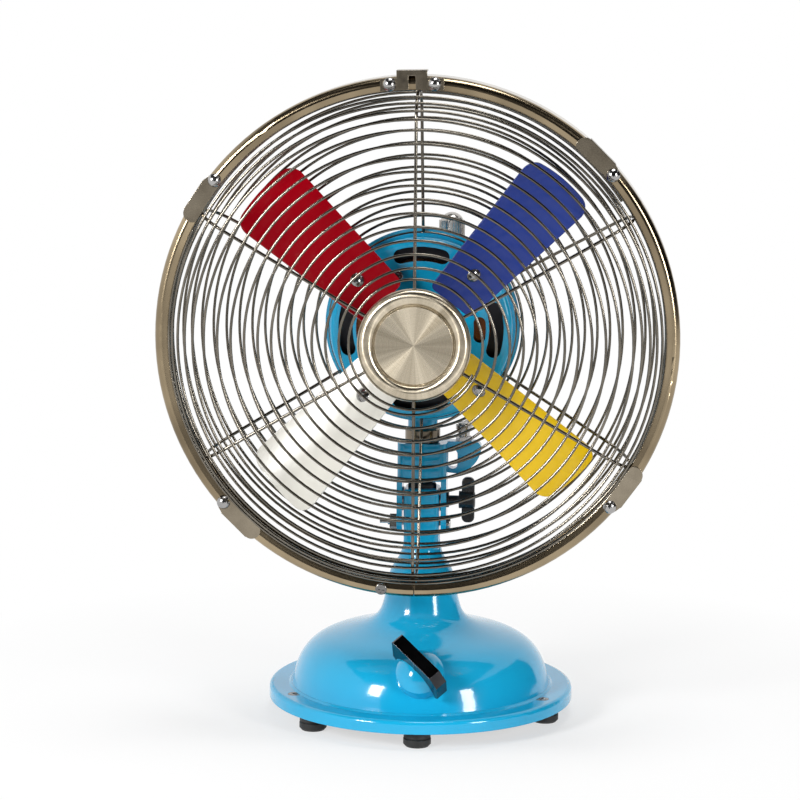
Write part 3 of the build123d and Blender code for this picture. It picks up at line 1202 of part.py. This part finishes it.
# ---- the whole fan ----------------------------------------------------------
def parts():
    built = {
        "base_shell": base_shell(),
        "bottom_cover": bottom_cover(),
        "rubber_feet": [place * one_foot() for place in foot_places()],
        "foot_screws": [place * one_foot_screw() for place in foot_places()],
        "flange_screws": [place * one_flange_screw() for place in flange_screw_places()],
        "cord_grommet": grommet(),
        "capacitor": capacitor(),
        "capacitor_strap": capacitor_strap(),
        "switch_body": switch_body(),
        "switch_screws": switch_screws(),
        "switch_shaft": switch_shaft(),
        "speed_knob": speed_knob(),
        "yoke": yoke(),
        "tilt_washers": tilt_washers(),
        "stop_bolt": stop_bolt(),
        "stop_nut": stop_nut(),
        "wing_knob": wing_knob(),
        "arm_pin": arm_pin(),
        "link_bar": link_bar(),
        "swivel_post": swivel_post(),
        "swivel_collar": swivel_collar(),
        "motor_front_cover": cover_front(),
        "motor_cover_screws": cover_screws(),
        "motor_rear_housing": rear_housing(),
        "stator_core": stator_core(),
        "stator_windings": stator_windings(),
        "front_bearing": front_bush(),
        "rear_bearing": rear_bush(),
        "motor_shaft": motor_shaft(),
        "rotor_core": rotor_core(),
        "blade_hub": blade_hub(),
        "blade_rivets": blade_rivets(),
        "shaft_nut": shaft_nut(),
        "front_guard": front_guard(),
        "rear_guard": rear_guard(),
        "rim_band": rim_band(),
        "rim_screw": rim_screw(),
        "badge": badge(),
        "badge_backplate": badge_backplate(),
        "badge_screw": badge_screw(),
        "top_bracket": top_bracket(),
        "bracket_rivets": bracket_rivets(),
        "clip_rivets": clip_rivets(),
        "gear_case": gear_case(),
        "gear_case_lid": gear_case_lid(),
        "gear_lid_screws": lid_screws(),
        "crank_bush": crank_bush(),
        "worm": worm(),
        "worm_wheel": worm_wheel(),
        "crank": crank(),
        "clutch_stem": clutch_stem(),
        "clutch_knob": clutch_knob(),
    }
    for index, name in enumerate(("blue", "red", "white", "yellow")):
        built["blade_" + name] = blade(index)
    for index, angle in enumerate(CLIP_ANGLES):
        built["guard_clip_%d" % (index + 1)] = guard_clip(angle)
    return built


os.makedirs("parts", exist_ok=True)
for node, shape in parts().items():
    if isinstance(shape, list):
        shape = Compound(children=shape)
    export_step(shape, "parts/" + node + ".step")
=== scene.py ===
"""Looks of the oscillating table fan: finishes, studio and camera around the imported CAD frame."""

import json
from math import copysign, cos, radians, sin, tau

import bmesh
import bpy
from mathutils import Matrix, Vector


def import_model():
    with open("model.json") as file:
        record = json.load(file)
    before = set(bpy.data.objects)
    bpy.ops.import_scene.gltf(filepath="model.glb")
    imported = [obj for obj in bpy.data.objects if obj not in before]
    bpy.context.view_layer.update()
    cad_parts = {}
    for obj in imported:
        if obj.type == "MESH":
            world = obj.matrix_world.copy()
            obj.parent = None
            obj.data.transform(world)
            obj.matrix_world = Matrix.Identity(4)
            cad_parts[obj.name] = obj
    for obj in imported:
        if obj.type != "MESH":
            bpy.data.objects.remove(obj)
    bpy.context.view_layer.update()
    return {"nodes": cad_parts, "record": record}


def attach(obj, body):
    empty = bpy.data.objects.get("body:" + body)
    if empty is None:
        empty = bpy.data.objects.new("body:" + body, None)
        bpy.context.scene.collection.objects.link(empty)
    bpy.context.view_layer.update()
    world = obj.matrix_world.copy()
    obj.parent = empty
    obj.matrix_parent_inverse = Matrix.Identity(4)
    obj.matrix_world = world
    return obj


PHOTO_SIZE = 800                # pixels, both ways
CAMERA_DISTANCE = 2.1           # level distance from the column, in metres
CAMERA_HEIGHT = 0.58555
CAMERA_AZIMUTH = 0.0573         # radians to the fan's right
CAMERA_YAW = 0.0654
CAMERA_PITCH = 0.1654
CAMERA_ROLL = 0.0076
FOCAL_PIXELS = 2888.2
SENSOR = 36.0
MILLIMETRE = 0.001
SMOOTH_BELOW = radians(32)
NOISE_LOW, NOISE_HIGH = 0.3, 0.7    # the span in which nearly all of a noise's values lie
WAVE_SCALE = 0.314              # a wave texture's scale for bands one metre apart
TONGUE_TOP = 0.170              # height of the flat top of the column's tongue
BUSH_HALF = (0.0105, 0.0068)    # half the black bush's length and depth; its black partly paints the shade under the yoke
BUSH_STEPS = 64
BUSH_FULLNESS = 0.7             # 1 is an ellipse, less is nearer a rectangle
BUSH_SMOOTH_BELOW = radians(60)
# Each pair: how far in from the bush's outline and how high above the tongue, in millimetres.
BUSH_PROFILE = ((0.0, -0.3), (0.0, 2.0), (0.5, 3.0), (1.5, 3.7), (2.5, 3.5), (3.2, 2.6), (3.4, 0.6))
FLOOR_SHADOW_REACH = 0.16       # from here outwards the floor fades into the white backdrop
FLOOR_FADE_END = 0.45
FLOOR_GLOW = 0.6                # how far the floor is lifted to white where the shadow lies
WORLD_FILL = 0.55               # light from all round, as a share of white
KEY_POWER, FILL_POWER, TOP_POWER = 47, 27, 17
CARD_GREY = (0.03, 0.03, 0.032)
MIDDLE = (0, 0, 0.25)           # what the lamps and cards face
AXIS_HEIGHT = 0.293             # the fan's axis above the floor

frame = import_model()


class Finish:
    """A procedural material: one shader with the small tools to grade its colour, gloss and relief."""

    def __init__(self, name, metallic=0.0, **inputs):
        self.mat = bpy.data.materials.new(name)
        self.mat.use_nodes = True
        self.nodes = self.mat.node_tree.nodes
        self.links = self.mat.node_tree.links
        self.shader = self.nodes["Principled BSDF"]
        self.shader.inputs["Metallic"].default_value = metallic
        for key, value in inputs.items():
            self.shader.inputs[key.replace("_", " ")].default_value = value
        self.place = self.nodes.new("ShaderNodeTexCoord").outputs["Object"]
        self.height = None

    def scaled(self, size):
        spread = self.nodes.new("ShaderNodeMapping")
        spread.inputs["Scale"].default_value = (size, size, size)
        self.links.new(self.place, spread.inputs["Vector"])
        return spread.outputs["Vector"]

    def math(self, operation, a, b=None):
        node = self.nodes.new("ShaderNodeMath")
        node.operation = operation
        for socket, value in zip(node.inputs, (a, b)):
            if isinstance(value, (int, float)):
                socket.default_value = value
            elif value is not None:
                self.links.new(value, socket)
        return node.outputs["Value"]

    def joined(self, x, y, z):
        node = self.nodes.new("ShaderNodeCombineXYZ")
        for socket, value in zip(node.inputs, (x, y, z)):
            self.links.new(value, socket)
        return node.outputs["Vector"]

    def round_axis(self, centre, lines, around):
        """Coordinates about the fan's axis: one set for fine circles, one that changes with the angle only."""
        parts = self.nodes.new("ShaderNodeSeparateXYZ")
        self.links.new(self.place, parts.inputs["Vector"])
        x, y, z = parts.outputs
        height = self.math("SUBTRACT", z, centre)
        squares = self.math("ADD", self.math("MULTIPLY", x, x), self.math("MULTIPLY", height, height))
        radius = self.math("SQRT", squares)
        side = self.math("MULTIPLY", self.math("DIVIDE", x, radius), around)
        rise = self.math("MULTIPLY", self.math("DIVIDE", height, radius), around)
        depth = self.math("MULTIPLY", y, lines)
        circles = self.joined(self.math("MULTIPLY", radius, lines), depth, side)
        return circles, self.joined(side, side, rise)

    def noise(self, vector, detail=4.0, rough=0.55):
        node = self.nodes.new("ShaderNodeTexNoise")
        node.inputs["Scale"].default_value = 1.0
        node.inputs["Detail"].default_value = detail
        node.inputs["Roughness"].default_value = rough
        self.links.new(vector, node.inputs["Vector"])
        return node.outputs["Fac"]

    def stripes(self, axis, spacing):
        node = self.nodes.new("ShaderNodeTexWave")
        node.bands_direction = axis
        node.inputs["Scale"].default_value = WAVE_SCALE / spacing
        self.links.new(self.place, node.inputs["Vector"])
        return node.outputs["Fac"]

    def ramp(self, value, low, high, from_value=NOISE_LOW, to_value=NOISE_HIGH):
        node = self.nodes.new("ShaderNodeMapRange")
        node.inputs["From Min"].default_value = from_value
        node.inputs["From Max"].default_value = to_value
        node.inputs["To Min"].default_value = low
        node.inputs["To Max"].default_value = high
        self.links.new(value, node.inputs["Value"])
        return node.outputs["Result"]

    def colour(self, value, dark, light):
        node = self.nodes.new("ShaderNodeMix")
        node.data_type = "RGBA"
        node.inputs["A"].default_value = (*dark, 1)
        node.inputs["B"].default_value = (*light, 1)
        self.links.new(self.ramp(value, 0.0, 1.0), node.inputs["Factor"])
        self.links.new(node.outputs["Result"], self.shader.inputs["Base Color"])

    def gloss(self, value, low, high):
        self.links.new(self.ramp(value, low, high), self.shader.inputs["Roughness"])

    def relief(self, value, depth):
        """Bump of a real depth in metres. Each call adds to the last."""
        node = self.nodes.new("ShaderNodeBump")
        node.inputs["Strength"].default_value = 1.0
        node.inputs["Distance"].default_value = depth
        self.links.new(value, node.inputs["Height"])
        if self.height is not None:
            self.links.new(self.height, node.inputs["Normal"])
        self.height = node.outputs["Normal"]
        self.links.new(self.height, self.shader.inputs["Normal"])

    def soft_edges(self, radius):
        """Catches light on edges as a real rounded edge does."""
        node = self.nodes.new("ShaderNodeBevel")
        node.samples = 6
        node.inputs["Radius"].default_value = radius
        self.height = node.outputs["Normal"]
        self.links.new(self.height, self.shader.inputs["Normal"])


def shade(colour, factor):
    return tuple(min(1.0, c * factor) for c in colour)


def paint(name, colour, gloss=(0.10, 0.16), coat=0.35):
    """Stoved gloss paint: faint orange peel, slow changes of depth, a clear coat over it."""
    mat = Finish(name, Coat_Weight=coat, Coat_Roughness=0.03, Specular_IOR_Level=0.4)
    slow = mat.noise(mat.scaled(9), detail=3)
    mat.colour(slow, shade(colour, 0.93), shade(colour, 1.04))
    mat.gloss(mat.noise(mat.scaled(60)), *gloss)
    mat.soft_edges(0.0006)
    mat.relief(mat.noise(mat.scaled(420), detail=2), 0.000012)
    return mat.mat


def plated(name, dark, light, gloss, depth=0.000008):
    """Plated or bare metal: clouded tone, uneven polish and a fine grain."""
    mat = Finish(name, 1.0)
    cloud = mat.noise(mat.scaled(38), detail=5)
    mat.colour(cloud, dark, light)
    mat.gloss(mat.noise(mat.scaled(150)), *gloss)
    mat.soft_edges(0.0004)
    mat.relief(mat.noise(mat.scaled(900), detail=2), depth)
    return mat.mat


def turned_brass(name, dark, light, gloss, lines, around, depth, anisotropic=0.8):
    """Aged brass with brush lines that run round the fan's axis and a tone that drifts round it."""
    mat = Finish(name, 1.0, Anisotropic=anisotropic)
    circles, turn = mat.round_axis(AXIS_HEIGHT, lines, around)
    mat.colour(mat.noise(turn, detail=3, rough=0.6), dark, light)
    brushed = mat.noise(circles, detail=5, rough=0.6)
    mat.gloss(brushed, *gloss)
    mat.soft_edges(0.0005)
    mat.relief(brushed, depth)
    tangent = mat.nodes.new("ShaderNodeTangent")
    tangent.direction_type = "RADIAL"
    tangent.axis = "Y"
    mat.links.new(tangent.outputs["Tangent"], mat.shader.inputs["Tangent"])
    return mat.mat


def moulded(name, colour, gloss, grain, depth):
    """Moulded rubber or plastic with a fine skin."""
    mat = Finish(name)
    mat.colour(mat.noise(mat.scaled(70)), shade(colour, 0.75), shade(colour, 1.3))
    mat.gloss(mat.noise(mat.scaled(200)), *gloss)
    mat.soft_edges(0.0004)
    mat.relief(mat.noise(mat.scaled(grain), detail=3), depth)
    return mat.mat


def layered(name, axis, spacing, dark, light, gloss, depth):
    """Metal in fine layers: stacked sheets or wound wire."""
    mat = Finish(name, 1.0)
    layers = mat.stripes(axis, spacing)
    mat.colour(layers, dark, light)
    mat.gloss(mat.noise(mat.scaled(120)), *gloss)
    mat.relief(layers, depth)
    return mat.mat


def finishes():
    """One finish for each material slot of the record."""
    blade = {"gloss": (0.15, 0.24), "coat": 0.2}
    return {
        "body_paint": paint("body_paint", (0.008, 0.38, 0.66)),
        "antique_brass": plated("antique_brass", (0.22, 0.185, 0.135), (0.36, 0.31, 0.235), (0.16, 0.26)),
        "steel": plated("steel", (0.34, 0.335, 0.33), (0.50, 0.49, 0.48), (0.12, 0.24)),
        "dark_steel": plated("dark_steel", (0.07, 0.07, 0.075), (0.14, 0.14, 0.15), (0.30, 0.45)),
        "black_rubber": moulded("black_rubber", (0.012, 0.012, 0.012), (0.45, 0.62), 1500, 0.00003),
        "black_plastic": moulded("black_plastic", (0.011, 0.011, 0.012), (0.24, 0.36), 1200, 0.000015),
        "black_nickel": plated("black_nickel", (0.035, 0.035, 0.038), (0.07, 0.07, 0.075), (0.06, 0.12)),
        "red_paint": paint("red_paint", (0.32, 0.0, 0.006), **blade),
        "blue_paint": paint("blue_paint", (0.0025, 0.028, 0.25), **blade),
        "yellow_paint": paint("yellow_paint", (0.90, 0.58, 0.004), **blade),
        "white_paint": paint("white_paint", (0.80, 0.78, 0.71), **blade),
        "copper": layered("copper", "Y", 0.0008, (0.10, 0.03, 0.012), (0.36, 0.13, 0.05), (0.2, 0.35), 0.0003),
        "bronze": plated("bronze", (0.30, 0.19, 0.09), (0.46, 0.31, 0.15), (0.28, 0.42)),
        "nylon": moulded("nylon", (0.62, 0.60, 0.55), (0.30, 0.40), 900, 0.00001),
        "aluminium": plated("aluminium", (0.36, 0.345, 0.32), (0.52, 0.50, 0.47), (0.20, 0.34)),
    }


def special_finishes():
    """Nodes whose look differs from the rest of their slot."""
    rim = turned_brass("rim_brass", (0.19, 0.148, 0.094), (0.46, 0.365, 0.235), (0.12, 0.20), 700, 1.6, 0.000006)
    badge = turned_brass("badge_brass", (0.36, 0.305, 0.22), (0.78, 0.69, 0.54), (0.24, 0.32), 2600, 2.2,
                         0.000003, 0.9)
    screw = plated("screw_steel", (0.13, 0.127, 0.122), (0.27, 0.265, 0.255), (0.14, 0.26))
    wire = plated("wire_brass", (0.12, 0.109, 0.09), (0.25, 0.226, 0.188), (0.10, 0.18), depth=0.000004)
    collar = plated("collar_brass", (0.09, 0.075, 0.055), (0.22, 0.185, 0.14), (0.14, 0.24))
    sheets = layered("laminations", "Y", 0.0005, (0.05, 0.05, 0.055), (0.22, 0.22, 0.23), (0.3, 0.5), 0.0002)
    return {"rim_band": rim, "badge": badge, "front_guard": wire, "rear_guard": wire, "swivel_collar": collar,
            "rim_screw": screw, "flange_screws": screw, "stop_nut": screw, "badge_screw": screw,
            "stator_core": sheets, "rotor_core": sheets}


def dress_nodes(mats, special):
    slots = {part["node"]: part["material_slot"] for part in frame["record"]["subparts"]}
    for node, obj in frame["nodes"].items():
        obj.data.materials.clear()
        obj.data.materials.append(special.get(node, mats[slots[node]]))
        obj.data.shade_smooth()
        obj.data.set_sharp_from_angle(angle=SMOOTH_BELOW)


def bulged(value):
    """Turns a circle's coordinate into that of a fuller, rounded-off rectangle."""
    return copysign(abs(value) ** BUSH_FULLNESS, value)


def black_shade_bush(mat):
    """Soft black bush on top of the tongue; its black also stands in for painted shade in the gap under the
    yoke's crotch.
    """
    mesh = bmesh.new()
    rings = []
    turns = [tau * step / BUSH_STEPS for step in range(BUSH_STEPS)]
    for inset, rise in BUSH_PROFILE:
        half_x, half_y = (half - inset * MILLIMETRE for half in BUSH_HALF)
        height = TONGUE_TOP + rise * MILLIMETRE
        rings.append([mesh.verts.new((half_x * bulged(cos(turn)), half_y * bulged(sin(turn)), height))
                      for turn in turns])
    for low, high in zip(rings, rings[1:]):
        for step in range(BUSH_STEPS):
            after = (step + 1) % BUSH_STEPS
            mesh.faces.new((low[step], low[after], high[after], high[step]))
    mesh.faces.new(rings[0])
    mesh.faces.new(rings[-1])
    bmesh.ops.recalc_face_normals(mesh, faces=mesh.faces)
    data = bpy.data.meshes.new("black_shade_bush")
    mesh.to_mesh(data)
    mesh.free()
    data.shade_smooth()
    data.set_sharp_from_angle(angle=BUSH_SMOOTH_BELOW)
    data.materials.append(mat)
    obj = bpy.data.objects.new("black_shade_bush", data)
    bpy.context.scene.collection.objects.link(obj)
    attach(obj, "base")


def turned_to_middle(obj, place, front):
    obj.rotation_euler = (Vector(MIDDLE) - Vector(place)).to_track_quat(front, "Y").to_euler()


def area_light(name, place, size, power):
    data = bpy.data.lights.new(name, "AREA")
    data.shape = "RECTANGLE"
    data.size, data.size_y = size
    data.energy = power
    obj = bpy.data.objects.new(name, data)
    bpy.context.scene.collection.objects.link(obj)
    obj.location = place
    turned_to_middle(obj, place, "-Z")


def card(name, place, size):
    """A dark studio card, out of the camera's view, for the metal and the gloss to mirror."""
    bpy.ops.mesh.primitive_plane_add(size=1, location=place)
    obj = bpy.context.object
    obj.name = name
    obj.scale = (size[0], size[1], 1)
    turned_to_middle(obj, place, "Z")
    mat = Finish(name, Roughness=0.9)
    mat.shader.inputs["Base Color"].default_value = (*CARD_GREY, 1)
    obj.data.materials.append(mat.mat)


def seen_as_white(mat):
    """1 for what the camera sees, mirrors or sees through glass, and 0 for light that falls on things."""
    path = mat.nodes.new("ShaderNodeLightPath")
    seen = mat.math("MAXIMUM", path.outputs["Is Camera Ray"], path.outputs["Is Glossy Ray"])
    return mat.math("MAXIMUM", seen, path.outputs["Is Transmission Ray"])


def floor():
    """A plain pale floor that keeps the shadow near the object and melts into the backdrop further out."""
    bpy.ops.mesh.primitive_plane_add(size=12, location=(0, 0, 0))
    obj = bpy.context.object
    obj.name = "floor"
    mat = Finish("floor", Roughness=0.7)
    mat.shader.inputs["Base Color"].default_value = (0.95, 0.95, 0.95, 1)
    mat.shader.inputs["Specular IOR Level"].default_value = 0.1
    reach = mat.nodes.new("ShaderNodeVectorMath")
    reach.operation = "LENGTH"
    mat.links.new(mat.place, reach.inputs[0])
    far = mat.ramp(reach.outputs["Value"], FLOOR_GLOW, 1.0, FLOOR_SHADOW_REACH, FLOOR_FADE_END)
    glow = mat.nodes.new("ShaderNodeEmission")
    mix = mat.nodes.new("ShaderNodeMixShader")
    mat.links.new(mat.math("MULTIPLY", far, seen_as_white(mat)), mix.inputs["Fac"])
    mat.links.new(mat.shader.outputs["BSDF"], mix.inputs[1])
    mat.links.new(glow.outputs["Emission"], mix.inputs[2])
    mat.links.new(mix.outputs["Shader"], mat.nodes["Material Output"].inputs["Surface"])
    obj.data.materials.append(mat.mat)


def world():
    """White where it is seen or mirrored; a quieter level where it lights the object."""
    data = bpy.data.worlds.new("studio")
    bpy.context.scene.world = data
    data.use_nodes = True
    nodes, links = data.node_tree.nodes, data.node_tree.links
    path = nodes.new("ShaderNodeLightPath")
    level = nodes.new("ShaderNodeMapRange")
    level.inputs["To Min"].default_value = 1.0
    level.inputs["To Max"].default_value = WORLD_FILL
    links.new(path.outputs["Is Diffuse Ray"], level.inputs["Value"])
    nodes["Background"].inputs["Color"].default_value = (1, 1, 1, 1)
    links.new(level.outputs["Result"], nodes["Background"].inputs["Strength"])


def studio():
    world()
    floor()
    area_light("key", (-1.5, -1.8, 1.15), (0.5, 0.7), KEY_POWER)
    area_light("fill", (1.7, -1.6, 0.75), (0.45, 0.9), FILL_POWER)
    area_light("top", (0.2, -0.2, 2.1), (0.9, 0.6), TOP_POWER)
    card("wall_front", (0.6, -4.4, 1.0), (7.4, 4.6))
    card("wall_right", (4.4, 0.2, 1.0), (7.6, 4.6))
    card("ceiling", (0, -1.0, 3.4), (7.0, 6.0))


def camera():
    data = bpy.data.cameras.new("camera")
    data.sensor_width = SENSOR
    data.lens = FOCAL_PIXELS * SENSOR / PHOTO_SIZE
    data.clip_start, data.clip_end = 0.1, 50
    obj = bpy.data.objects.new("camera", data)
    scene = bpy.context.scene
    scene.collection.objects.link(obj)
    forward = Vector((-sin(CAMERA_YAW) * cos(CAMERA_PITCH), cos(CAMERA_YAW) * cos(CAMERA_PITCH),
                      -sin(CAMERA_PITCH)))
    level = Vector((cos(CAMERA_YAW), sin(CAMERA_YAW), 0))
    above = level.cross(forward)
    right = level * cos(CAMERA_ROLL) + above * sin(CAMERA_ROLL)
    up = above * cos(CAMERA_ROLL) - level * sin(CAMERA_ROLL)
    turn = Matrix((right, up, -forward)).transposed()
    obj.matrix_world = turn.to_4x4()
    obj.location = (CAMERA_DISTANCE * sin(CAMERA_AZIMUTH), -CAMERA_DISTANCE * cos(CAMERA_AZIMUTH), CAMERA_HEIGHT)
    scene.camera = obj


bpy.context.scene.view_settings.view_transform = "Standard"
mats = finishes()
dress_nodes(mats, special_finishes())
# the black bush is partly painted shade: it darkens the tongue's top under the yoke
black_shade_bush(mats["black_rubber"])
studio()
camera()
